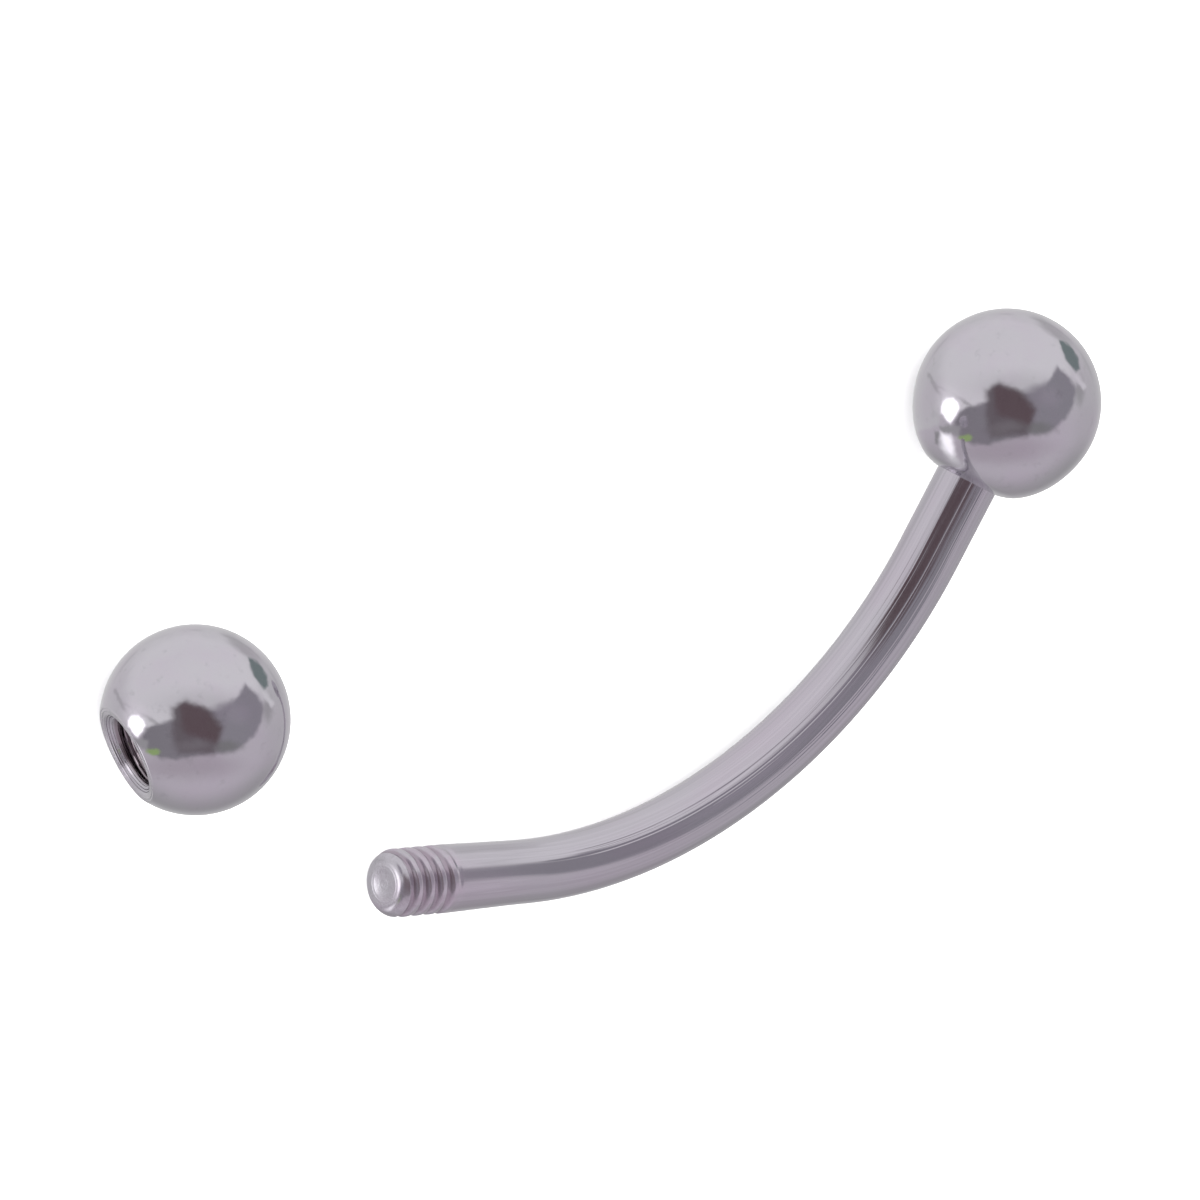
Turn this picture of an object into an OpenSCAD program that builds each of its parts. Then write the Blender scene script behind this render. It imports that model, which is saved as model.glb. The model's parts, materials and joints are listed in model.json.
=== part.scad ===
// Curved eyebrow barbell, lying on a flat surface with one ball unscrewed.
// Origin: on that surface, under the middle of the whole. X runs from the end ball to the free end.

/* [Balls] */
// Diameter of each ball
ball_d = 3.0; // [2.9:0.1:3.4]
// Distance from the screw ball's centre to the flat round its hole
flat_h = 1.245; // [1.20:0.005:1.28]
// Distance from the end ball's centre to the bottom of its seat
seat_h = 0.2; // [0:0.05:0.5]

/* [Bar] */
// Diameter of the wire, 18 gauge
wire_d = 1.02; // [0.98:0.01:1.04]
// Straight stretch from the end ball's centre to the bend
root_len = 2.7; // [2.4:0.1:3.2]
// Radius of the bend, on the wire's centre line
bend_r = 8.1; // [7.6:0.1:8.6]
// Angle of the bend in degrees
bend_a = 66.5; // [60:0.5:72]
// Straight free end from the bend to the tip, with its thread
free_len = 2.9; // [2.5:0.1:3.4]

/* [Thread] */
// Diameter over the bar's rolled crests
crest_d = 1.09; // [1.06:0.01:1.10]
// Depth of the thread's grooves
groove_h = 0.11; // [0.08:0.01:0.12]
// Distance from groove to groove
pitch = 0.25; // [0.24:0.005:0.26]
// Number of grooves on the bar
bar_turns = 4; // [3:1:6]
// Number of grooves in the screw ball's hole
hole_turns = 5; // [4:1:6]
// Running gap of the thread, and of the end ball's seat
gap = 0.015; // [0.01:0.005:0.03]

/* [Tip] */
// Radius of the dished face in the tip
dish_r = 0.32; // [0.28:0.01:0.33]
// Depth of the dish
dish_h = 0.03; // [0.01:0.01:0.05]
// Radius at which the lead-in cone would meet the face
rim_r = 0.43; // [0.42:0.01:0.46]
// Radius of the rounded rim between the face and the cone
round_r = 0.12; // [0.08:0.02:0.14]
// Length from the tip to the first crest, over the rim and the cone
lead_len = 0.16; // [0.14:0.02:0.24]

/* [Unscrewed ball] */
// Where the screw ball lies, along X from the end ball
loose_x = 15.8; // [15.4:0.1:17]
// Where the screw ball lies, along Y from the end ball
loose_y = -5.0; // [-6:0.1:-4.5]
// Turn of its hole about the vertical, from X
hole_yaw = -5.5; // [-15:0.5:10]
// How far its hole points below level
hole_down = 14.5; // [0:0.5:20]

/* [Hidden] */
$fn = 96;

steel = [0.72, 0.70, 0.74];
ball_r = ball_d / 2;
wire_r = wire_d / 2;

// How far outside the metal a cut begins
past = 0.2;

// Thread: a groove with sloping flanks and a narrow, slightly hollow floor, then a narrow land
crest_r = crest_d / 2;
root_r = crest_r - groove_h;
land = 0.06;
floor_w = 0.05;
floor_rise = 0.012;
flank_w = (pitch - land - floor_w) / 2;
thread_start = lead_len + land;
thread_end = thread_start + bar_turns * pitch;

// Behind the thread the free end narrows from its crests to the wire, shortly before the bend
plain_len = 0.25;

// Rim of the tip: the cone's slope from the face, and where the rounding meets the face
cone_a = atan2(lead_len, crest_r - rim_r);
face_r = rim_r - round_r * tan(cone_a / 2);

// Hole: a countersink that ends in the first groove, lands at the inner radius, and a drilled point
groove_room = 0.035;
hole_r = root_r + gap;
hole_groove_r = crest_r + groove_room;
sink_r = 0.66;
sink_h = 0.09;
first_floor = 0.03;
hole_land = sink_h + first_floor + flank_w;
hole_start = hole_land + land;
hole_end = hole_start + hole_turns * pitch;
drill_a = 30;

// The straights run a little way into the bend, and there stay a hair inside its wire
overlap = 0.05;
straight_r = wire_r - 0.002;

// Widest circle of the flat, and the seat of the bar in the end ball
flat_r = sqrt(ball_r * ball_r - flat_h * flat_h);
seat_r = wire_r + gap;

// The wire lies in a plane, the end ball's centre at 0, 0, and bends towards -y
function on_bend(a) = [root_len + bend_r * sin(a), bend_r * (cos(a) - 1)];
function heading(a) = [cos(a), -sin(a)];
tip_pt = on_bend(bend_a) + free_len * heading(bend_a);

// Centre of mass of the barbell in that plane, by volume
bend_rad = bend_a * PI / 180;
chord_f = sin(bend_a / 2) / (bend_rad / 2);
bend_mid = [root_len + bend_r * chord_f * sin(bend_a / 2),
    bend_r * (chord_f * cos(bend_a / 2) - 1)];
root_mid = [(ball_r + root_len) / 2, 0];
free_mid = (on_bend(bend_a) + tip_pt) / 2;
wire_area = PI * wire_r * wire_r;
ball_vol = 4 / 3 * PI * pow(ball_r, 3);
root_vol = wire_area * (root_len - ball_r);
bend_vol = wire_area * bend_r * bend_rad;
free_vol = wire_area * free_len;
mass_pt = (root_vol * root_mid + bend_vol * bend_mid + free_vol * free_mid)
    / (ball_vol + root_vol + bend_vol + free_vol);

// It rests on the ball and on the point of the bend that the line from the ball's centre through
// the centre of mass meets, and the wire's plane tips towards that point
slope = -mass_pt.y / mass_pt.x;
rest_a = atan(slope) + acos((bend_r - slope * root_len) / (bend_r * sqrt(1 + slope * slope)));
rest_n = [sin(rest_a), cos(rest_a)];
tip_down = asin((ball_r - wire_r) / (rest_n * on_bend(rest_a)));

// Seen from above, the tipped plane is shorter along rest_n, and then the free end is turned onto X
function tipped(p) = p - (p * rest_n) * (1 - cos(tip_down)) * rest_n;
yaw = -atan2(tipped(tip_pt).y, tipped(tip_pt).x);
function turned(p) = [p.x * cos(yaw) - p.y * sin(yaw), p.x * sin(yaw) + p.y * cos(yaw)];

// The whole reaches from the end ball to the flat's edge in X, and from the screw ball to the bend in Y
hole_x = cos(hole_down) * cos(hole_yaw);
far_x = loose_x + flat_h * hole_x + flat_r * sqrt(1 - hole_x * hole_x);
far_y = max([for (i = [0:200]) turned(tipped(on_bend(bend_a * i / 200))).y]) + wire_r;
middle = [(far_x - ball_r) / 2, (far_y + loose_y - ball_r) / 2];

// Outline of a row of grooves from start, cut from radius r to radius deep
function grooves(start, turns, r, deep) =
    let (side = deep + floor_rise * sign(r - deep))
    [for (i = [0:turns - 1]) each [
        [r, start + i * pitch],
        [side, start + i * pitch + flank_w],
        [deep, start + i * pitch + flank_w + floor_w / 2],
        [side, start + i * pitch + flank_w + floor_w],
        [r, start + i * pitch + 2 * flank_w + floor_w]]];

// Puts the barbell's own plane at rest on the surface
module at_rest() {
    translate([-middle.x, -middle.y, ball_r])
        rotate([0, 0, yaw])
            rotate(a = tip_down, v = [-rest_n.y, rest_n.x, 0])
                children();
}

// Turns what is drawn along +Z from the tip inwards to the free end of the wire
module at_tip() {
    translate([tip_pt.x, tip_pt.y, 0])
        rotate([0, 0, 180 - bend_a])
            rotate([0, 90, 0])
                children();
}

// Free end, from its tip: dish, rounded rim, lead-in cone, thread, narrowing stretch and wire
module free_end() {
    rotate_extrude()
        polygon(concat(
            [[0, dish_h], [dish_r, 0]],
            [for (i = [0:3]) let (a = cone_a * i / 3)
                [face_r + round_r * sin(a), round_r * (1 - cos(a))]],
            [[crest_r, lead_len]],
            grooves(thread_start, bar_turns, crest_r, root_r),
            [[crest_r, thread_end], [straight_r, free_len - plain_len]],
            [[straight_r, free_len + overlap], [0, free_len + overlap]]));
}

module curved_bar() {
    color(steel) at_rest() {
        translate([seat_h + gap, 0, 0])
            rotate([0, 90, 0])
                cylinder(r = straight_r, h = root_len + overlap - seat_h - gap);
        translate([root_len, -bend_r, 0])
            rotate([0, 0, 90 - bend_a])
                rotate_extrude(angle = bend_a)
                    translate([bend_r, 0])
                        circle(r = wire_r);
        at_tip() free_end();
    }
}

module end_ball() {
    color(steel) at_rest()
        rotate([0, 90, 0])
            difference() {
                sphere(r = ball_r);
                translate([0, 0, seat_h])
                    cylinder(r = seat_r, h = ball_r);
            }
}

// The hole, drawn along +Z from the flat inwards
module threaded_hole() {
    rotate_extrude()
        polygon(concat(
            [[0, -past], [sink_r, -past], [sink_r, 0], [hole_groove_r, sink_h]],
            [[hole_groove_r - floor_rise, sink_h + first_floor], [hole_r, hole_land]],
            grooves(hole_start, hole_turns, hole_r, hole_groove_r),
            [[hole_r, hole_end], [0, hole_end + hole_r * tan(drill_a)]]));
}

module screw_ball() {
    color(steel)
        translate([loose_x - middle.x, loose_y - middle.y, ball_r])
            rotate([0, 0, hole_yaw])
                rotate([0, 90 + hole_down, 0])
                    difference() {
                        sphere(r = ball_r);
                        translate([0, 0, flat_h])
                            cylinder(r = ball_r, h = ball_r);
                        translate([0, 0, flat_h])
                            mirror([0, 0, 1])
                                threaded_hole();
                    }
}

curved_bar();
end_ball();
screw_ball();
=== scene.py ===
"""Curved eyebrow barbell, lying on a pale surface with one of its balls unscrewed."""

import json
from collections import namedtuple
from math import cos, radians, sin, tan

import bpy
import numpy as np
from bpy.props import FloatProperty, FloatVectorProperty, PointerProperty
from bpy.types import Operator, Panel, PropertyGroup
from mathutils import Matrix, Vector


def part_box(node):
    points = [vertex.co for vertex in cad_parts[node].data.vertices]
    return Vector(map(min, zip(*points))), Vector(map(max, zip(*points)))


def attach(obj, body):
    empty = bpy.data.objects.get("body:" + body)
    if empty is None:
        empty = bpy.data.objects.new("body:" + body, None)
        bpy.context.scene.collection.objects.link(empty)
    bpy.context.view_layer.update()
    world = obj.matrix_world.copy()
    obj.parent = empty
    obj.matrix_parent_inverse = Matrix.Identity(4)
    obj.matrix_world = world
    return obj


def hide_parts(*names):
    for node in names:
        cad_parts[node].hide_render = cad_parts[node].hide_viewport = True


bl_info = {
    "name": "Curved Eyebrow Barbell",
    "version": (1, 0, 0),
    "blender": (4, 5, 0),
    "location": "View3D > Sidebar > Barbell",
    "description": "Builds a curved eyebrow barbell, one ball unscrewed, under soft studio light",
    "category": "Add Mesh",
}

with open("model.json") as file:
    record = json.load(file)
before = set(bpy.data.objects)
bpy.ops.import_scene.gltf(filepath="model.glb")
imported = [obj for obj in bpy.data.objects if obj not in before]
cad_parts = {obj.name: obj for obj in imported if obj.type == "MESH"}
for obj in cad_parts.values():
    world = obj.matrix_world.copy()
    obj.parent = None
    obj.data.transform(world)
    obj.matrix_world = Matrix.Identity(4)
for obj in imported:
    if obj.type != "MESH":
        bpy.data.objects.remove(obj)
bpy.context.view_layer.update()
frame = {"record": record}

MM = 0.001
MOUNTS = {mount["name"]: mount for mount in frame["record"]["mounts"]}
STRAIGHT = "unbent"

# A route runs from the inner end outwards: where it starts, and the three directions it is drawn in
Route = namedtuple("Route", "start along across over straight bend_radius bend_angle length")

# Points round a ring of each piece, and steps over the outline of a ball
BAR_POINTS = 160
END_BALL_POINTS = 192
SCREW_BALL_POINTS = 176
BALL_STEPS = 120

# What the steel reflects is drawn on a ball as the camera sees it: its middle is 0, 0 and its outline
# has radius 1. A spot is an ellipse, turned by some degrees, and a card has straight sides between
# corners that are listed counter-clockwise. Soft is how wide their edges are.
Spot = namedtuple("Spot", "x y half_width half_height turn soft shade")
Card = namedtuple("Card", "corners soft shade")


class BarSizes(PropertyGroup):
    """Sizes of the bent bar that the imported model's mounts don't give."""

    wire: FloatProperty(
        name="Wire", description="Diameter of the wire", default=1.02 * MM, unit="LENGTH")
    groove: FloatProperty(
        name="Groove", description="Depth of the thread", default=0.07 * MM, unit="LENGTH")
    pitch: FloatProperty(
        name="Pitch", description="Distance from turn to turn", default=0.25 * MM, unit="LENGTH")
    land: FloatProperty(
        name="Crest", description="Width of a crest", default=0.06 * MM, unit="LENGTH")
    floor: FloatProperty(
        name="Groove floor", description="Width of the groove's floor", default=0.05 * MM,
        unit="LENGTH")
    lead: FloatProperty(
        name="Lead-in", description="Length of the rim and the cone before the first crest",
        default=0.16 * MM, unit="LENGTH")
    plain: FloatProperty(
        name="Plain end", description="Full-size wire between the narrowing stretch and the bend",
        default=0.25 * MM, unit="LENGTH")
    dish: FloatProperty(
        name="Dish", description="Radius of the hollow in the tip", default=0.3 * MM, unit="LENGTH")
    dish_depth: FloatProperty(
        name="Dish depth", description="Depth of the hollow in the tip", default=0.018 * MM,
        unit="LENGTH")
    rim: FloatProperty(
        name="Rim", description="Radius at which the cone would meet the tip's face",
        default=0.43 * MM, unit="LENGTH")
    rim_round: FloatProperty(
        name="Rim rounding", description="How far the rim's rounding reaches over face and cone",
        default=0.125 * MM, unit="LENGTH")
    first_turn: FloatProperty(
        name="First turn", description="Where the thread's first groove is, from the tip",
        default=0.02 * MM, unit="LENGTH")
    runout: FloatProperty(
        name="Run-out", description="Length over which the last turn fades", default=0.35 * MM,
        unit="LENGTH")


class BallSizes(PropertyGroup):
    """Sizes of the two balls and their holes."""

    flat: FloatProperty(
        name="Flat", description="From the screw ball's centre to its flat", default=1.245 * MM,
        unit="LENGTH")
    sink: FloatProperty(
        name="Countersink", description="Radius of the hole's countersink", default=0.69 * MM,
        unit="LENGTH")
    sink_depth: FloatProperty(
        name="Countersink depth", description="Depth of the countersink", default=0.12 * MM,
        unit="LENGTH")
    bore: FloatProperty(
        name="Groove radius", description="Radius of the hole at its grooves", default=0.58 * MM,
        unit="LENGTH")
    wall: FloatProperty(
        name="Threaded depth", description="From the flat to the end of the thread", default=1.5 * MM,
        unit="LENGTH")
    point: FloatProperty(
        name="Drill point", description="Slope of the hole's end", default=radians(30),
        subtype="ANGLE")
    first_turn: FloatProperty(
        name="First turn", description="Angle at which the hole's thread starts",
        default=radians(335), subtype="ANGLE")
    edge: FloatProperty(
        name="Edge", description="Rounding of the flat's and the seat's edges", default=0.02 * MM,
        unit="LENGTH")
    seat: FloatProperty(
        name="Seat", description="From the end ball's centre to the bottom of its seat",
        default=0.2 * MM, unit="LENGTH")
    gap: FloatProperty(
        name="Gap", description="Space round the bar in its seat", default=0.015 * MM, unit="LENGTH")
    swell: FloatProperty(
        name="Swell", description="How far the end ball swells round the bar", default=0.042 * MM,
        unit="LENGTH")


class SteelFinish(PropertyGroup):
    """Finish of the steel."""

    bar_colour: FloatVectorProperty(
        name="Bar", description="Colour of the drawn wire", size=3, subtype="COLOR",
        default=(0.485, 0.463, 0.508))
    ball_colour: FloatVectorProperty(
        name="Balls", description="Colour of the polished balls", size=3, subtype="COLOR",
        default=(0.533, 0.513, 0.556))
    bar_rough: FloatProperty(
        name="Bar roughness", description="Roughness of the wire", default=0.07, subtype="FACTOR")
    ball_rough: FloatProperty(
        name="Ball roughness", description="Roughness of the balls", default=0.055, subtype="FACTOR")
    line_depth: FloatProperty(
        name="Draw lines", description="Depth of the wire's draw lines", default=0.014 * MM,
        unit="LENGTH")
    turning_depth: FloatProperty(
        name="Turning marks", description="Depth of the marks round the screw ball's hole",
        default=0.05 * MM, unit="LENGTH")
    peel: FloatProperty(
        name="Orange peel", description="Height of the balls' faint waves", default=0.003 * MM,
        unit="LENGTH")


class StudioLook(PropertyGroup):
    """Camera and light."""

    azimuth: FloatProperty(
        name="Azimuth", description="Where the camera stands, from behind -Y towards +X",
        default=radians(43.2527), subtype="ANGLE")
    elevation: FloatProperty(
        name="Elevation", description="Height of the camera above the surface",
        default=radians(50.2256), subtype="ANGLE")
    roll: FloatProperty(
        name="Roll", description="Turn of the camera about its own axis", default=radians(104.6074),
        subtype="ANGLE")
    distance: FloatProperty(
        name="Distance", description="From the camera to the aim", default=495.44 * MM, unit="LENGTH")
    aim: FloatVectorProperty(
        name="Aim", description="Point that the camera looks at", size=3, subtype="XYZ",
        default=(0.427 * MM, -0.396 * MM, 1.5 * MM), unit="LENGTH")
    lens: FloatProperty(name="Lens", description="Focal length in millimetres", default=943.0)
    wobble: FloatProperty(
        name="Wobble", description="How uneven the edges of the reflected forms are", default=0.06)
    dome: FloatProperty(name="Dome", description="Brightness of the even white light", default=2.9)
    floor_shade: FloatProperty(
        name="Surface", description="Paleness of the surface", default=0.88, subtype="FACTOR")


class BarbellSettings(PropertyGroup):
    """Everything that can be set on the barbell."""

    bar: PointerProperty(type=BarSizes)
    ball: PointerProperty(type=BallSizes)
    steel: PointerProperty(type=SteelFinish)
    studio: PointerProperty(type=StudioLook)


def smooth(x, low, high):
    """0 below low, 1 above high, and 3t^2 - 2t^3 between them."""
    t = np.clip((x - low) / (high - low), 0, 1)
    return t * t * (3 - 2 * t)


def unit(v):
    """The direction of a vector."""
    return np.asarray(v, float) / np.linalg.norm(v)


def mount_line(name):
    """A mount's point and direction, in metres."""
    mount = MOUNTS[name]
    return np.array(mount["pos_m"], float), unit(mount["axis"])


def mount_size(name, size):
    """A mount's size in metres."""
    return MOUNTS[name]["dims"][size] * MM


def bar_route(sizes):
    """The wire's centre line: a straight from the end ball's centre, an arc, a straight to the tip.

    The bend's middle and the threaded end, each with its direction, fix the plane of the wire and b,
    half of the bend's angle. In that plane the threaded end lies R sin b + L cos b along the bend's
    middle direction and R (1 - cos b) + L sin b beside it, which gives the radius R and the straight
    L.
    """
    seat, seat_way = mount_line("piercing_seat")
    thread, thread_way = mount_line("threaded_end")
    over = unit(np.cross(seat_way, thread_way))
    inside = np.cross(over, seat_way)
    half = np.arctan2(thread_way @ inside, thread_way @ seat_way)
    ahead = (thread - seat) @ seat_way
    beside = (thread - seat) @ inside
    both = [[sin(half), cos(half)], [1 - cos(half), sin(half)]]
    radius, straight = np.linalg.solve(both, [ahead, beside])
    along = cos(half) * seat_way - sin(half) * inside
    across = np.cross(over, along)
    bend_start = seat - radius * (sin(half) * seat_way - (1 - cos(half)) * inside)
    low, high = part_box("end_ball")
    centre = np.array(low + high) / 2
    root = (bend_start - centre) @ along
    tip = straight + mount_size("threaded_end", "length_mm") / 2 + sizes.lead
    return Route(centre, along, across, over, root, radius, 2 * half, root + 2 * half * radius + tip)


def straight_route(start, along, over):
    """A straight line from start, far longer than any piece, with over square to its direction."""
    far = 1.0
    return Route(
        start, along, np.cross(over, along), over,
        straight=far, bend_radius=far, bend_angle=0.0, length=far)


def on_route(route, s):
    """Points at distances s along a route, and the directions across and over it there.

    A straight, then an arc of radius R, turned by t = (s - straight) / R towards across, and then a
    straight again: x = s up to the bend + R sin t + rest cos t, y = R (1 - cos t) + rest sin t.
    """
    t = np.clip((s - route.straight) / route.bend_radius, 0, route.bend_angle)
    first = np.minimum(s, route.straight)
    rest = np.maximum(s - route.straight - route.bend_radius * route.bend_angle, 0)
    x = first + route.bend_radius * np.sin(t) + rest * np.cos(t)
    y = route.bend_radius * (1 - np.cos(t)) + rest * np.sin(t)
    points = route.start + np.multiply.outer(x, route.along) + np.multiply.outer(y, route.across)
    across = np.multiply.outer(np.cos(t), route.across) - np.multiply.outer(np.sin(t), route.along)
    return points, across, np.broadcast_to(route.over, across.shape)


def ring_angles(count):
    """Angles of the points of a ring."""
    return np.arange(count) * 2 * np.pi / count


def turned_grid(route, s, radius):
    """Surface round a route: p = c(s) + r(s, a) (cos a * across + sin a * over), for angles a.

    s has one value for each ring, and radius has one row for each ring. Also returns the same surface
    as it would be on a straight, unbent route, which the patterns of the finish follow.
    """
    count = radius.shape[1]
    a = ring_angles(count)
    centres, across, over = on_route(route, s)
    ring_x = radius * np.cos(a)
    ring_y = radius * np.sin(a)
    sideways = ring_x[..., None] * across[:, None] + ring_y[..., None] * over[:, None]
    points = centres[:, None] + sideways
    plain = np.stack([ring_x, ring_y, np.repeat(s[:, None], count, 1)], -1)
    return points, plain


def closed_mesh(name, points, plain):
    """A closed mesh from a grid of rings, the first and the last of which are single points."""
    rings, count = points.shape[:2]
    inner = np.arange((rings - 2) * count).reshape(rings - 2, count) + 1
    ahead = np.roll(inner, -1, 1)
    quads = np.stack([inner[:-1], ahead[:-1], ahead[1:], inner[1:]], -1).reshape(-1, 4)
    last = inner.size + 1
    first_cap = np.stack([np.zeros(count, int), ahead[0], inner[0]], -1)
    last_cap = np.stack([inner[-1], ahead[-1], np.full(count, last)], -1)
    places = np.concatenate([points[:1, 0], points[1:-1].reshape(-1, 3), points[-1:, 0]])
    unbent = np.concatenate([plain[:1, 0], plain[1:-1].reshape(-1, 3), plain[-1:, 0]])
    mesh = bpy.data.meshes.new(name)
    mesh.from_pydata(places.tolist(), [], quads.tolist() + first_cap.tolist() + last_cap.tolist())
    mesh.polygons.foreach_set("use_smooth", np.ones(len(mesh.polygons), bool))
    layer = mesh.attributes.new(STRAIGHT, "FLOAT_VECTOR", "POINT")
    layer.data.foreach_set("vector", (unbent / MM).astype(np.float32).ravel())
    mesh.update()
    piece = bpy.data.objects.new(name, mesh)
    bpy.context.scene.collection.objects.link(piece)
    return piece


def rounded(corners, steps=7):
    """An outline through corners (s, r, rounding), with a short curve in place of each inner corner.

    The curve is the quadratic (1 - t)^2 a + 2 t (1 - t) corner + t^2 b, between points a and b that
    lie the corner's rounding before and after it, or less where a side is too short for its
    roundings.
    """
    shared_side, own_side = 0.45, 0.95
    points = np.array([corner[:2] for corner in corners], float)
    reach = [corner[2] for corner in corners]
    t = np.linspace(0, 1, steps)[:, None]
    out = [points[:1]]
    for i in range(1, len(points) - 1):
        if reach[i] == 0:
            out.append(points[i:i + 1])
            continue
        ends = []
        for beside in (i - 1, i + 1):
            side = points[beside] - points[i]
            room = np.linalg.norm(side) * (shared_side if reach[beside] else own_side)
            ends.append(points[i] + min(reach[i], room) * unit(side))
        out.append((1 - t) ** 2 * ends[0] + 2 * t * (1 - t) * points[i] + t ** 2 * ends[1])
    return np.concatenate(out + [points[-1:]])


def refined(outline, step):
    """The outline (s, r) with more points on it, so that none is further than step from the next."""
    pieces = [np.linspace(a, b, max(2, int(np.ceil(np.linalg.norm(b - a) / step)) + 1))[:-1]
              for a, b in zip(outline, outline[1:])]
    return np.concatenate(pieces + [outline[-1:]])


def groove_share(distance, angle, sizes):
    """How deep a right-hand thread is, from 0 on its crest to 1 on its floor.

    The place in the turn is w = distance / pitch + angle / 2 pi, less its whole part. The depth is 1
    over the floor, falls along the flanks as a half cosine, and is 0 over the crest.
    """
    w = (distance / sizes.pitch + angle / (2 * np.pi)) % 1
    flank = (sizes.pitch - sizes.land - sizes.floor) / 2 / sizes.pitch
    off = np.abs(w - 0.5) - sizes.floor / sizes.pitch / 2
    t = np.clip(off / flank, 0, 1)
    return (1 + np.cos(np.pi * t)) / 2


class Value:
    """A socket that holds a number, so that sums of it are written as ordinary expressions."""

    def __init__(self, tree, socket):
        self.tree = tree
        self.socket = socket

    def maths(self, operation, *others):
        """A Math node of that operation on this value and the others."""
        return self.tree.add("ShaderNodeMath", dict(enumerate((self, *others))), operation=operation)

    def __add__(self, other):
        return self.maths("ADD", other)

    def __sub__(self, other):
        return self.maths("SUBTRACT", other)

    def __mul__(self, other):
        return self.maths("MULTIPLY", other)

    def __truediv__(self, other):
        return self.maths("DIVIDE", other)

    def __neg__(self):
        return self.maths("MULTIPLY", -1.0)

    def __radd__(self, other):
        return self + other

    def __rsub__(self, other):
        return -self + other

    def __rmul__(self, other):
        return self * other

    def __rtruediv__(self, other):
        return self.tree.add("ShaderNodeMath", {0: other, 1: self}, operation="DIVIDE")

    def size(self):
        """The value without its sign."""
        return self.maths("ABSOLUTE")

    def least(self, other):
        """The smaller of the two."""
        return self.maths("MINIMUM", other)

    def rise(self, low, high):
        """0 below low, 1 above high, smooth between. It falls instead where low is over high."""
        return self.tree.add(
            "ShaderNodeMapRange", {"Value": self, "From Min": low, "From Max": high},
            interpolation_type="SMOOTHSTEP")

    def near(self, middle, reach):
        """1 where the value is the middle, and 0 where it is further than reach from it."""
        return (self - middle).size().rise(reach, 0.0)


class Tree:
    """The nodes of a material or a world."""

    def __init__(self, owner):
        owner.use_nodes = True
        self.owner = owner
        self.nodes = owner.node_tree.nodes
        self.nodes.clear()

    def add(self, kind, sockets=None, output=0, **settings):
        """Adds a node of that type: its settings first, then its sockets' values or links."""
        node = self.nodes.new(kind)
        for name, setting in settings.items():
            setattr(node, name, setting)
        for name, value in (sockets or {}).items():
            if isinstance(value, Value):
                self.owner.node_tree.links.new(value.socket, node.inputs[name])
            else:
                node.inputs[name].default_value = value
        return Value(self, node.outputs[output]) if len(node.outputs) else node

    def vector(self, operation, *vectors):
        """A Vector Math node of that operation."""
        output = "Value" if operation in ("DOT_PRODUCT", "LENGTH") else "Vector"
        return self.add("ShaderNodeVectorMath", dict(enumerate(vectors)), output, operation=operation)

    def parts(self, vector):
        """The x, y and z of a vector."""
        return [self.add("ShaderNodeSeparateXYZ", {0: vector}, index) for index in range(3)]

    def joined(self, x, y, z):
        """A vector from its x, y and z."""
        return self.add("ShaderNodeCombineXYZ", {0: x, 1: y, 2: z})

    def mix(self, share, first, second):
        """The first colour where share is 0 and the second where it is 1."""
        return self.add(
            "ShaderNodeMix", {0: share, 6: first, 7: second}, 2, data_type="RGBA")

    def noise(self, place, scales, detail=2.0, rough=0.5):
        """Smooth noise from 0 to 1 at a place whose axes are multiplied by scales."""
        scaled = self.vector("MULTIPLY", place, scales)
        return self.add(
            "ShaderNodeTexNoise",
            {"Vector": scaled, "Scale": 1.0, "Detail": detail, "Roughness": rough})


def colour(value):
    """A colour with its alpha, from a number for grey or from three numbers."""
    return (*np.broadcast_to(value, 3).tolist(), 1)


def tinted(rgb, *factors):
    """A colour whose red, green and blue are each multiplied by a factor, or all by one."""
    return colour(np.array(rgb) * factors)


def steel_material(name, finish):
    """Steel of that name.

    finish takes the tree and the unbent place, in millimetres, and gives the surface's height in
    millimetres, its colour and its roughness.
    """
    material = bpy.data.materials.get(name)
    if material:
        return material
    material = bpy.data.materials.new(name)
    tree = Tree(material)
    place = tree.add("ShaderNodeAttribute", output="Vector", attribute_name=STRAIGHT)
    height, base, rough = finish(tree, place)
    normal = tree.add("ShaderNodeBump", {"Height": height, "Strength": 1.0, "Distance": MM})
    shader = tree.add("ShaderNodeBsdfPrincipled", {
        "Base Color": base, "Metallic": 1.0, "Roughness": rough, "Normal": normal})
    tree.add("ShaderNodeOutputMaterial", {"Surface": shader})
    return material


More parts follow.
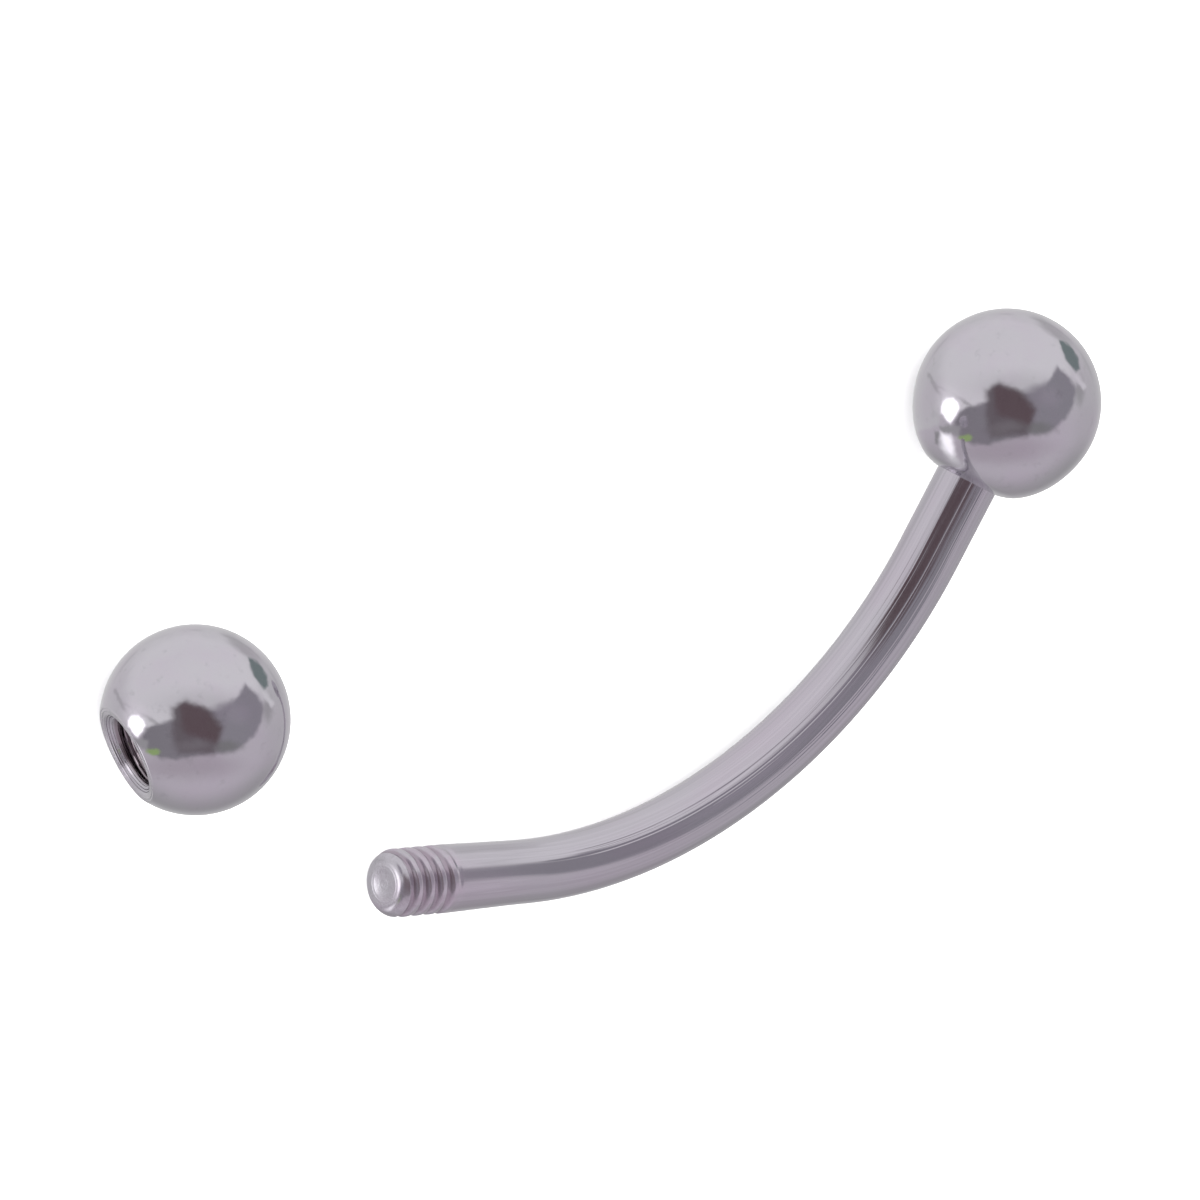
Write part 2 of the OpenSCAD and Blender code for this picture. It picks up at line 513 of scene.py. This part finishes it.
def wire_finish(steel, bar, bend_end, tip):
    """Drawn wire: lines along it, a threaded end that is stained and duller, and a turned face.

    In the unbent place, z is the distance s along the wire, and x and y give the radius.
    """
    lines = steel.line_depth / MM
    face_marks = 0.1 * steel.turning_depth / MM
    free_end = (bend_end - 2 * bar.plain) / MM
    tip = tip / MM
    thread_back = tip - (bar.lead + mount_size("threaded_end", "length_mm")) / MM
    face = (bar.rim - bar.rim_round) / MM
    crest = mount_size("threaded_end", "r_mm") / MM

    def finish(tree, place):
        def streaks(across, along, detail=1.0, rough=0.5):
            """Noise that is drawn out along the wire."""
            return tree.noise(place, (across, across, along), detail, rough)

        x, y, s = tree.parts(place)
        radius = tree.vector("LENGTH", tree.joined(x, y, 0.0))
        on_thread = s.rise(thread_back - 0.1, thread_back + 0.15) * s.rise(tip - 0.1, tip - 0.2)
        on_face = s.rise(tip - 0.05, tip - 0.03) * radius.rise(face + 0.01, face - 0.02)

        # Draw lines, which fade on the free end, and the marks of the turned face
        broad = streaks(4.5, 0.06, 2.0, 0.6)
        narrow = streaks(13, 0.1, 3.0, 0.65)
        fine = streaks(36, 0.25, 2.0, 0.6)
        strong = streaks(1.3, 0.12).rise(0.42, 0.62)
        scratch = streaks(5.5, 0.03).near(0.5, 0.05)
        nick = streaks(14, 0.15).near(0.6, 0.08)
        lined = (broad * 0.8 + narrow * (strong * 0.5 + 0.15) + fine * 0.1) * lines
        lined = (lined - (scratch * 0.32 + nick * 0.1) * lines) * s.rise(free_end + 1, free_end - 2)
        turned = tree.noise(tree.joined(radius, 0.0, 0.0), (24, 1, 1), 2.0) * face_marks
        height = lined * (1 - on_face) + turned * on_face

        # Uneven tone, dark scratches, bright nicks, a stained thread and painted shade in its grooves
        plain = steel.bar_colour
        faint = 0.16
        half = 0.5
        blotch = tree.noise(place, (1.1, 1.1, 0.35), 3.0).rise(0.4, 0.7)
        base = tree.mix(blotch, tinted(plain, 1.0), tinted(plain, 1.0, 0.95, 0.99))
        base = tree.mix(scratch * faint, base, tinted(plain, 0.6))
        base = tree.mix(nick * faint, base, tinted(plain, 1.3))
        stain = tree.noise(place, (5, 5, 5), 2.0).rise(0.3, 0.7) * on_thread
        base = tree.mix(stain * half, base, tinted(plain, 1.0, 0.85, 0.95))
        # Painted shade: the thread's grooves are darkened in the colour, where shade falls in them
        soil_and_shade = radius.rise(crest - 0.01, crest - 0.055) * on_thread * (1 - on_face)
        base = tree.mix(soil_and_shade * half, base, tinted(plain, 0.48, 0.36, 0.43))

        # Duller towards the thread, on it and on the nose
        worn = 0.07
        rough = tree.noise(place, (3, 3, 0.6), 2.0) * 0.06 + steel.bar_rough
        rough = rough + on_thread * 0.08 + s.rise(free_end, thread_back) * worn
        rough = rough + s.rise(tip - 0.2, tip - 0.08) * worn
        return height, base, rough

    return finish


def ball_finish(steel):
    """Polished ball: faint waves, haze and soil."""
    peel = steel.peel / MM
    fine_peel = 0.05 * peel

    def finish(tree, place):
        waves = tree.noise(place, (2.4, 2.4, 2.4), 2.0)
        grain = tree.noise(place, (22, 22, 22), 2.0, 0.6)
        height = waves * peel + grain * fine_peel
        haze = tree.noise(place, (2.6, 2.6, 2.6), 4.0, 0.6)
        rough = haze * 0.06 + steel.ball_rough
        plain = steel.ball_colour
        blotch = tree.noise(place, (1.5, 1.5, 1.5), 3.0).rise(0.4, 0.65)
        base = tree.mix(blotch, tinted(plain, 1.0), tinted(plain, 1.0, 0.975, 1.0))
        # Soil on the ball: darker patches at random, the ball's own colour
        soil_and_shade = tree.noise(place, (5, 5, 5), 5.0, 0.65).rise(0.55, 0.8)
        base = tree.mix(soil_and_shade, base, tinted(plain, 0.88))
        return height, base, rough

    return finish


def holed_finish(steel, sizes):
    """Polished ball with turning marks round its hole, and painted shade that darkens the hole inside.

    In the unbent place, z is the distance s along the hole from the ball's centre, and x and y give
    the radius. The marks begin a little inside the countersink and end at the flat's edge.
    """
    polished = ball_finish(steel)
    marks = steel.turning_depth / MM
    marks_from = (sizes.flat - sizes.sink_depth * 1.5) / MM
    marks_edge = 0.82
    bore = sizes.bore / MM
    past_hole = -0.85

    def finish(tree, place):
        height, base, rough = polished(tree, place)
        x, y, s = tree.parts(place)
        radius = tree.vector("LENGTH", tree.joined(x, y, 0.0))
        rings = tree.noise(tree.joined(radius, s, 0.0), (20, 20, 1), 3.0, 0.6)
        on_flat = radius.rise(marks_edge + 0.01, marks_edge - 0.01)
        marked = s.rise(marks_from, marks_from + 0.02) * on_flat
        # Painted shade: the bore past the countersink is darkened and browned in the colour
        inside = radius.rise(bore + 0.03, bore - 0.01) * s.rise(past_hole - 0.05, past_hole + 0.05)
        base = tree.mix(inside * 0.8, base, tinted(steel.ball_colour, 0.42, 0.35, 0.36))
        return height + rings * marked * marks, base, rough + marked * 0.03

    return finish


def place_piece(piece, node, material):
    """Lets a piece stand for its node and ride on the barbell's one body."""
    piece.data.materials.append(material)
    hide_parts(node)
    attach(piece, "root")


SETTINGS = "barbell"


def settings():
    """The add-on's settings on the current scene."""
    return getattr(bpy.context.scene, SETTINGS)


class BARBELL_OT_curved_bar(Operator):
    """Adds the bent wire with its thread and its faced, dished tip"""

    bl_idname = "barbell.curved_bar"
    bl_label = "Add Curved Bar"

    def execute(self, context):
        sizes = settings().bar
        balls = settings().ball
        route = bar_route(sizes)
        wire = sizes.wire / 2
        crest = mount_size("threaded_end", "r_mm")
        end = route.length
        thread_back = end - sizes.lead - mount_size("threaded_end", "length_mm")
        bend_end = route.straight + route.bend_radius * route.bend_angle
        inner = balls.seat + balls.gap
        # Roundings of the hidden end, of where the wire starts to widen, and of the thread's two ends
        hidden_edge, wide_round = 0.02 * MM, 0.4 * MM
        back_round, front_round = 0.1 * MM, 0.09 * MM
        outline = rounded([
            (inner, 0, 0), (inner, wire, hidden_edge), (bend_end + sizes.plain, wire, wide_round),
            (thread_back, crest, back_round), (end - sizes.lead, crest, front_round),
            (end, sizes.rim, sizes.rim_round), (end, sizes.dish, 0)])
        plain_step = 0.1 * MM
        thread_step = sizes.pitch / 20
        bare = refined(outline[outline[:, 0] < thread_back], plain_step)
        front = refined(outline[outline[:, 0] >= thread_back], thread_step)
        # The dish is half a cosine of r^1.7, which makes its middle flatter and its edge soft
        dish_steps, flatter = 12, 1.7
        dish_r = sizes.dish * (1 - np.linspace(0, 1, dish_steps)[1:])
        hollow = (1 + np.cos(np.pi * (dish_r / sizes.dish) ** flatter)) / 2
        dish = np.stack([end - sizes.dish_depth * hollow, dish_r], -1)
        s, r = np.concatenate([bare, front, dish]).T
        a = ring_angles(BAR_POINTS)
        fade = smooth(s, thread_back, thread_back + sizes.runout)
        depth = groove_share(s[:, None] - end + sizes.first_turn, -a, sizes) * fade[:, None]
        cut = crest - sizes.groove * depth
        threaded = ((s > thread_back) & (s < end - sizes.rim_round / 2))[:, None]
        radius = np.where(threaded, np.minimum(r[:, None], cut), r[:, None] * np.ones(len(a)))
        piece = closed_mesh("curved_bar_steel", *turned_grid(route, s, radius))
        finish = wire_finish(settings().steel, sizes, bend_end, end)
        place_piece(piece, "curved_bar", steel_material("Drawn Steel", finish))
        return {"FINISHED"}


class BARBELL_OT_end_ball(Operator):
    """Adds the ball that is fixed on the bar, swollen a little where the bar enters it"""

    bl_idname = "barbell.end_ball"
    bl_label = "Add End Ball"

    def execute(self, context):
        sizes = settings().ball
        low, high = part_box("end_ball")
        ball = (high.z - low.z) / 2
        route = bar_route(settings().bar)
        seat = settings().bar.wire / 2 + sizes.gap
        # The outline runs by the angle from the bar, from the far pole to the seat. The swell starts
        # just inside the seat, is highest soon after it and fades out before the widest circle.
        start, top, fade = radians(18), radians(33), radians(75)
        angle = np.linspace(np.pi, np.arcsin((seat + sizes.edge) / ball), BALL_STEPS)
        swell = smooth(angle, start, top) * (1 - smooth(angle, top, fade))
        reach = ball + sizes.swell * swell
        s, r = reach * np.cos(angle), np.maximum(reach * np.sin(angle), 0)
        mouth, below = s[-1], s[-1] - 0.1 * MM
        corner = rounded([(mouth, r[-1], 0), (mouth, seat, sizes.edge), (below, seat, 0)])[1:]
        wall_step = 0.15 * MM
        wall = refined(np.array([corner[-1], (sizes.seat, seat), (sizes.seat, 0)]), wall_step)[1:]
        s, r = np.concatenate([np.stack([s, r], -1), corner, wall]).T
        radius = np.repeat(r[:, None], END_BALL_POINTS, 1)
        axis = straight_route(route.start, route.along, route.over)
        piece = closed_mesh("end_ball_steel", *turned_grid(axis, s, radius))
        finish = ball_finish(settings().steel)
        place_piece(piece, "end_ball", steel_material("Polished Steel", finish))
        return {"FINISHED"}


class BARBELL_OT_screw_ball(Operator):
    """Adds the unscrewed ball with its flat, countersink and threaded hole"""

    bl_idname = "barbell.screw_ball"
    bl_label = "Add Screw Ball"

    def execute(self, context):
        sizes = settings().ball
        thread = settings().bar
        low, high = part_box("screw_ball")
        ball = (high.z - low.z) / 2
        hole_point, way = mount_line("ball_hole")
        length = mount_size("ball_hole", "length_mm")
        land = mount_size("ball_hole", "r_mm")
        # The mount is in the middle of the stretch between the first land and the thread's end
        centre = hole_point + way * (sizes.wall - length / 2 - sizes.flat)
        flat_r = np.sqrt(ball ** 2 - sizes.flat ** 2)
        angle = np.linspace(np.pi, np.arcsin(flat_r / ball) + sizes.edge / ball, BALL_STEPS)
        shell = np.stack([ball * np.cos(angle), np.maximum(ball * np.sin(angle), 0)], -1)
        bottom = sizes.flat - sizes.wall
        # The countersink has two steps in depth and radius, each a steep stretch and a flatter one
        step = np.array([sizes.sink_depth, sizes.sink - sizes.bore]) / 2
        half = (sizes.flat - step[0], sizes.sink - step[1])
        steep = step * (0.65, 0.4)
        small_edge = sizes.edge / 2
        mouth = rounded([
            (*shell[-1], 0), (sizes.flat, flat_r, sizes.edge), (sizes.flat, sizes.sink, sizes.edge),
            (sizes.flat - steep[0], sizes.sink - steep[1], small_edge), (*half, small_edge),
            (half[0] - steep[0], half[1] - steep[1], small_edge),
            (sizes.flat - sizes.sink_depth, sizes.bore, sizes.edge), (bottom, sizes.bore, 0)])[1:]
        bevel = 0.02 * MM
        point = np.array([(bottom - bevel, land - bevel), (bottom - land * tan(sizes.point), 0)])
        thread_step, point_step = thread.pitch / 18, 0.06 * MM
        hole = np.concatenate([refined(mouth, thread_step), refined(point, point_step)])
        s, r = np.concatenate([shell, hole]).T
        a = ring_angles(SCREW_BALL_POINTS)
        # The thread rises from the countersink, and its last turn closes to the radius of the lands
        deep = (sizes.flat - s)[:, None]
        thread_rise = 0.13 * MM
        first_turn = smooth(deep, sizes.sink_depth, sizes.sink_depth + thread_rise)
        last_turn = smooth(deep, sizes.wall - thread.pitch, sizes.wall)
        turns = groove_share(-deep, sizes.first_turn - a, thread)
        crest = np.maximum((1 - turns) * first_turn, last_turn)
        hair = 0.001 * MM
        in_hole = (np.arange(len(s)) > len(shell)) & (r > sizes.bore - hair) & (r < sizes.sink)
        radius = r[:, None] - np.where(in_hole[:, None], (sizes.bore - land) * crest, 0)
        axis = straight_route(centre, way, unit(np.cross(way, [0, 0, 1])))
        piece = closed_mesh("screw_ball_steel", *turned_grid(axis, s, radius))
        finish = holed_finish(settings().steel, sizes)
        place_piece(piece, "screw_ball", steel_material("Turned Steel", finish))
        return {"FINISHED"}


def camera_axes(look):
    """The photo camera's right, up and backward directions in the row frame."""
    flat = cos(look.elevation)
    back = np.array([
        sin(look.azimuth) * flat, -cos(look.azimuth) * flat, sin(look.elevation)])
    level = np.array([cos(look.azimuth), sin(look.azimuth), 0])
    high = np.cross(back, level)
    right = cos(look.roll) * level + sin(look.roll) * high
    return right, np.cross(back, right), back


# What the steel reflects. A later form is drawn over the earlier ones.
REFLECTED = (
    Spot(-0.02, 0.30, 0.70, 0.60, 0, 0.13, 1.0),
    Spot(-0.05, -0.48, 0.46, 0.12, 0, 0.7, (0.6, 0.55, 0.593)),
    Spot(0.50, 0.75, 0.24, 0.045, -38, 0.7, 0.64),
    Spot(0.18, 0.12, 0.48, 0.17, -5, 0.7, 0.82),
    Card(((-1.2, 0.45), (-1.2, -0.3), (-0.72, -0.2), (-0.69, 0.03), (-0.74, 0.14), (-0.84, 0.33)),
         0.02, 0.8),
    Card(((-0.85, 0.31), (-0.835, 0.26), (-0.75, 0.11), (-0.69, 0.02), (-0.67, 0.045), (-0.735, 0.16),
          (-0.82, 0.32)), 0.012, 0.62),
    Card(((-0.8, 0.215), (-0.78, 0.19), (-0.45, -0.02), (-0.235, -0.135), (-0.235, -0.105),
          (-0.45, 0.02)), 0.012, 0.68),
    Card(((-0.575, -0.235), (-0.49, -0.33), (-0.33, -0.405), (-0.09, -0.4), (0.2, -0.345), (0.24, 0.1),
          (-0.2, 0.0), (-0.5, -0.06)), 0.025, (0.325, 0.312, 0.335)),
    Card(((0.1, -0.34), (0.42, -0.32), (0.5, 0.1), (0.45, 0.24), (0.25, 0.15), (0.12, 0.11)), 0.06,
         (0.375, 0.353, 0.392)),
    Card(((0.4, -0.325), (0.475, -0.29), (0.62, -0.17), (0.7, -0.02), (0.725, 0.12), (0.66, 0.265),
          (0.53, 0.378), (0.43, 0.22), (0.3, -0.2)), 0.026, (0.375, 0.363, 0.395)),
    Spot(0.45, 0.06, 0.10, 0.09, 0, 0.8, (0.42, 0.395, 0.44)),
    Spot(0.30, -0.28, 0.17, 0.06, 0, 0.6, 0.3),
    Card(((-0.235, 0.13), (-0.235, -0.14), (-0.165, -0.34), (0.19, -0.36), (0.27, -0.19), (0.3, -0.08),
          (0.14, 0.12), (-0.08, 0.2)), 0.05, (0.2, 0.175, 0.187)),
    Spot(-0.02, -0.26, 0.17, 0.05, 5, 0.8, (0.25, 0.23, 0.24)),
    Card(((-0.15, 0.14), (-0.12, -0.12), (0.22, -0.24), (0.29, -0.09), (0.12, 0.11), (-0.06, 0.18)),
         0.045, (0.16, 0.115, 0.125)),
    Spot(0.765, 0.12, 0.05, 0.14, 0, 0.6, 0.52),
    Card(((0.69, 0.33), (0.715, 0.24), (0.8, 0.13), (0.83, 0.17), (0.77, 0.27)), 0.02, 0.95),
    Card(((0.55, 0.655), (0.57, 0.55), (0.64, 0.42), (0.72, 0.31), (0.76, 0.36), (0.745, 0.46),
          (0.69, 0.565), (0.62, 0.63)), 0.015, (0.26, 0.32, 0.31)),
    Spot(-0.43, -0.33, 0.075, 0.034, -5, 0.35, (0.42, 0.6, 0.24)),
    Card(((-0.71, -0.19), (-0.7, -0.26), (-0.6, -0.285), (-0.5, -0.33), (-0.48, -0.2), (-0.56, -0.2)),
         0.02, 0.5),
    Card(((-0.765, -0.25), (-0.765, -0.39), (-0.72, -0.4), (-0.715, -0.27)), 0.015, 0.42),
    Spot(-0.62, 0.03, 0.1, 0.12, 20, 0.8, 1.12),
    Card(((-0.69, -0.01), (-0.69, -0.075), (-0.6, -0.18), (-0.545, -0.115), (-0.515, -0.05),
          (-0.58, 0.04), (-0.645, 0.043)), 0.018, 2.7),
    Spot(-0.6, -0.5, 0.055, 0.16, 28, 0.7, 1.1),
    Card(((-0.69, -0.28), (-0.695, -0.34), (-0.655, -0.45), (-0.575, -0.53), (-0.55, -0.5),
          (-0.565, -0.36), (-0.61, -0.295)), 0.04, 1.9),
)


def spot_share(x, y, spot):
    """1 inside a spot and 0 outside it.

    With a and b the place in the spot's own turned axes, in half sizes, the edge of the ellipse is
    where the length of (a, b) is 1.
    """
    turn = radians(spot.turn)
    dx, dy = x - spot.x, y - spot.y
    a = (dx * cos(turn) + dy * sin(turn)) / spot.half_width
    b = (dy * cos(turn) - dx * sin(turn)) / spot.half_height
    reach = x.tree.vector("LENGTH", x.tree.joined(a, b, 0.0))
    return reach.rise(1 + spot.soft, 1 - spot.soft)


def card_share(x, y, card):
    """1 inside a card and 0 outside it, by the least distance inwards from its sides' lines."""
    corners = np.array(card.corners)
    inwards = None
    for (ax, ay), (bx, by) in zip(corners, np.roll(corners, -1, 0)):
        nx, ny = unit((ay - by, bx - ax)).tolist()
        side = x * nx + (y * ny - float(ax * nx + ay * ny))
        inwards = side if inwards is None else inwards.least(side)
    return inwards.rise(-card.soft, card.soft)


def studio_world(look):
    """Even white light, and for reflections a soft light tent that is fixed in the room.

    A direction d shows on a ball where the ball's face is square to d + back, so that sum, made one
    long, gives the place on the ball, and the forms are drawn there.
    """
    world = bpy.data.worlds.new("Light Tent")
    bpy.context.scene.world = world
    tree = Tree(world)
    right, up, back = camera_axes(look)
    way = tree.add("ShaderNodeTexCoord", output="Generated")
    face = tree.vector("NORMALIZE", tree.vector("ADD", way, tuple(back)))
    x = tree.vector("DOT_PRODUCT", face, tuple(right))
    y = tree.vector("DOT_PRODUCT", face, tuple(up))
    from_middle = x * x + y * y
    x = x + (tree.noise(face, (9, 9, 9), 2.0) - 0.5) * look.wobble
    y = y + (tree.noise(face, (10, 10, 10), 2.0) - 0.5) * look.wobble
    # The tent is violet below and paler above, and darker towards the right
    tent = tree.mix(y.rise(-0.30, 0.35), colour((0.732, 0.697, 0.737)), colour(0.82))
    tent = tree.mix(x.rise(0.6, 0.95) * 0.5, tent, colour(0.58))
    for form in REFLECTED:
        share = (card_share if isinstance(form, Card) else spot_share)(x, y, form)
        tent = tree.mix(share, tent, colour(form.shade))
    # Round the outline: a dark lower edge, a broken line along the upper edge, and a pale rim
    low_edge = from_middle.rise(0.5, 0.95) * y.rise(-0.2, -0.7)
    tent = tree.mix(low_edge, tent, colour(0.46))
    line = (from_middle - 0.874).size().rise(0.03, 0.008) * y.rise(0.15, 0.4)
    broken = tree.noise(face, (3, 3, 3), 1.0).rise(0.35, 0.6)
    tent = tree.mix(line * broken * 0.5, tent, colour(0.55))
    tent = tree.mix(from_middle.rise(0.86, 1.0) * 0.6, tent, colour(0.72))
    # Light that has met two pieces or more sees the tent less clearly
    deep = tree.add("ShaderNodeLightPath", output="Glossy Depth").rise(1.0, 2.0)
    tent = tree.mix(deep * 0.6, tent, colour(0.9))
    seen = tree.add("ShaderNodeBackground", {"Color": tent, "Strength": 1.0})
    even = tree.add("ShaderNodeBackground", {"Color": colour(1), "Strength": look.dome})
    gloss = tree.add("ShaderNodeLightPath", output="Is Glossy Ray")
    both = tree.add("ShaderNodeMixShader", {0: gloss, 1: even, 2: seen})
    tree.add("ShaderNodeOutputWorld", {"Surface": both})


def studio_floor(look):
    """A wide pale sheet under the barbell: z = 0 over a square grid."""
    half = 3.0
    lines = 9
    side = np.linspace(-half, half, lines)
    x, y = np.meshgrid(side, side)
    places = np.stack([x, y, np.zeros_like(x)], -1).reshape(-1, 3)
    index = np.arange(places.shape[0]).reshape(x.shape)
    faces = np.stack([index[:-1, :-1], index[:-1, 1:], index[1:, 1:], index[1:, :-1]], -1)
    mesh = bpy.data.meshes.new("studio_floor")
    mesh.from_pydata(places.tolist(), [], faces.reshape(-1, 4).tolist())
    floor = bpy.data.objects.new("studio_floor", mesh)
    bpy.context.scene.collection.objects.link(floor)
    floor.visible_glossy = False
    material = bpy.data.materials.new("Pale Sheet")
    tree = Tree(material)
    place = tree.add("ShaderNodeTexCoord", output="Object")
    tone = tree.noise(place, (900, 900, 900), 3.0).rise(0.2, 0.8)
    uneven = 0.01
    pale = tree.mix(tone, colour(look.floor_shade - uneven), colour(look.floor_shade))
    shader = tree.add("ShaderNodeBsdfPrincipled", {
        "Base Color": pale, "Roughness": 1.0, "Specular IOR Level": 0.0})
    tree.add("ShaderNodeOutputMaterial", {"Surface": shader})
    floor.data.materials.append(material)


def studio_camera(look):
    """The camera, with its axes as camera_axes gives them."""
    data = bpy.data.cameras.new("studio_camera")
    data.lens = look.lens
    data.sensor_width = 36.0
    data.clip_start = 0.01
    data.clip_end = 10.0
    camera = bpy.data.objects.new("studio_camera", data)
    bpy.context.scene.collection.objects.link(camera)
    right, up, back = camera_axes(look)
    turn = Matrix((right, up, back)).transposed().to_4x4()
    camera.matrix_world = Matrix.Translation(Vector(look.aim) + Vector(back) * look.distance) @ turn
    bpy.context.scene.camera = camera


class BARBELL_OT_studio(Operator):
    """Adds the pale surface, the light tent and the camera"""

    bl_idname = "barbell.studio"
    bl_label = "Add Studio"

    def execute(self, context):
        look = settings().studio
        studio_world(look)
        studio_floor(look)
        studio_camera(look)
        context.scene.view_settings.view_transform = "Standard"
        return {"FINISHED"}


class BARBELL_PT_sidebar(Panel):
    """Lists the barbell's operators and settings"""

    bl_label = "Barbell"
    bl_space_type = "VIEW_3D"
    bl_region_type = "UI"
    bl_category = "Barbell"

    def draw(self, context):
        for operator in OPERATORS:
            self.layout.operator(operator.bl_idname)
        for group in (settings().bar, settings().ball, settings().steel, settings().studio):
            box = self.layout.box()
            for name in group.__annotations__:
                box.prop(group, name)


OPERATORS = (BARBELL_OT_studio, BARBELL_OT_curved_bar, BARBELL_OT_end_ball, BARBELL_OT_screw_ball)
CLASSES = (
    BarSizes, BallSizes, SteelFinish, StudioLook, BarbellSettings, *OPERATORS, BARBELL_PT_sidebar)


def register():
    """Registers the classes and puts the settings on the scene."""
    for one in CLASSES:
        bpy.utils.register_class(one)
    setattr(bpy.types.Scene, SETTINGS, PointerProperty(type=BarbellSettings))


def unregister():
    """Takes the settings and the classes away again."""
    delattr(bpy.types.Scene, SETTINGS)
    for one in reversed(CLASSES):
        bpy.utils.unregister_class(one)


def main():
    """Builds the studio and the barbell."""
    register()
    bpy.ops.barbell.studio()
    bpy.ops.barbell.curved_bar()
    bpy.ops.barbell.end_ball()
    bpy.ops.barbell.screw_ball()


if __name__ == "__main__":
    main()
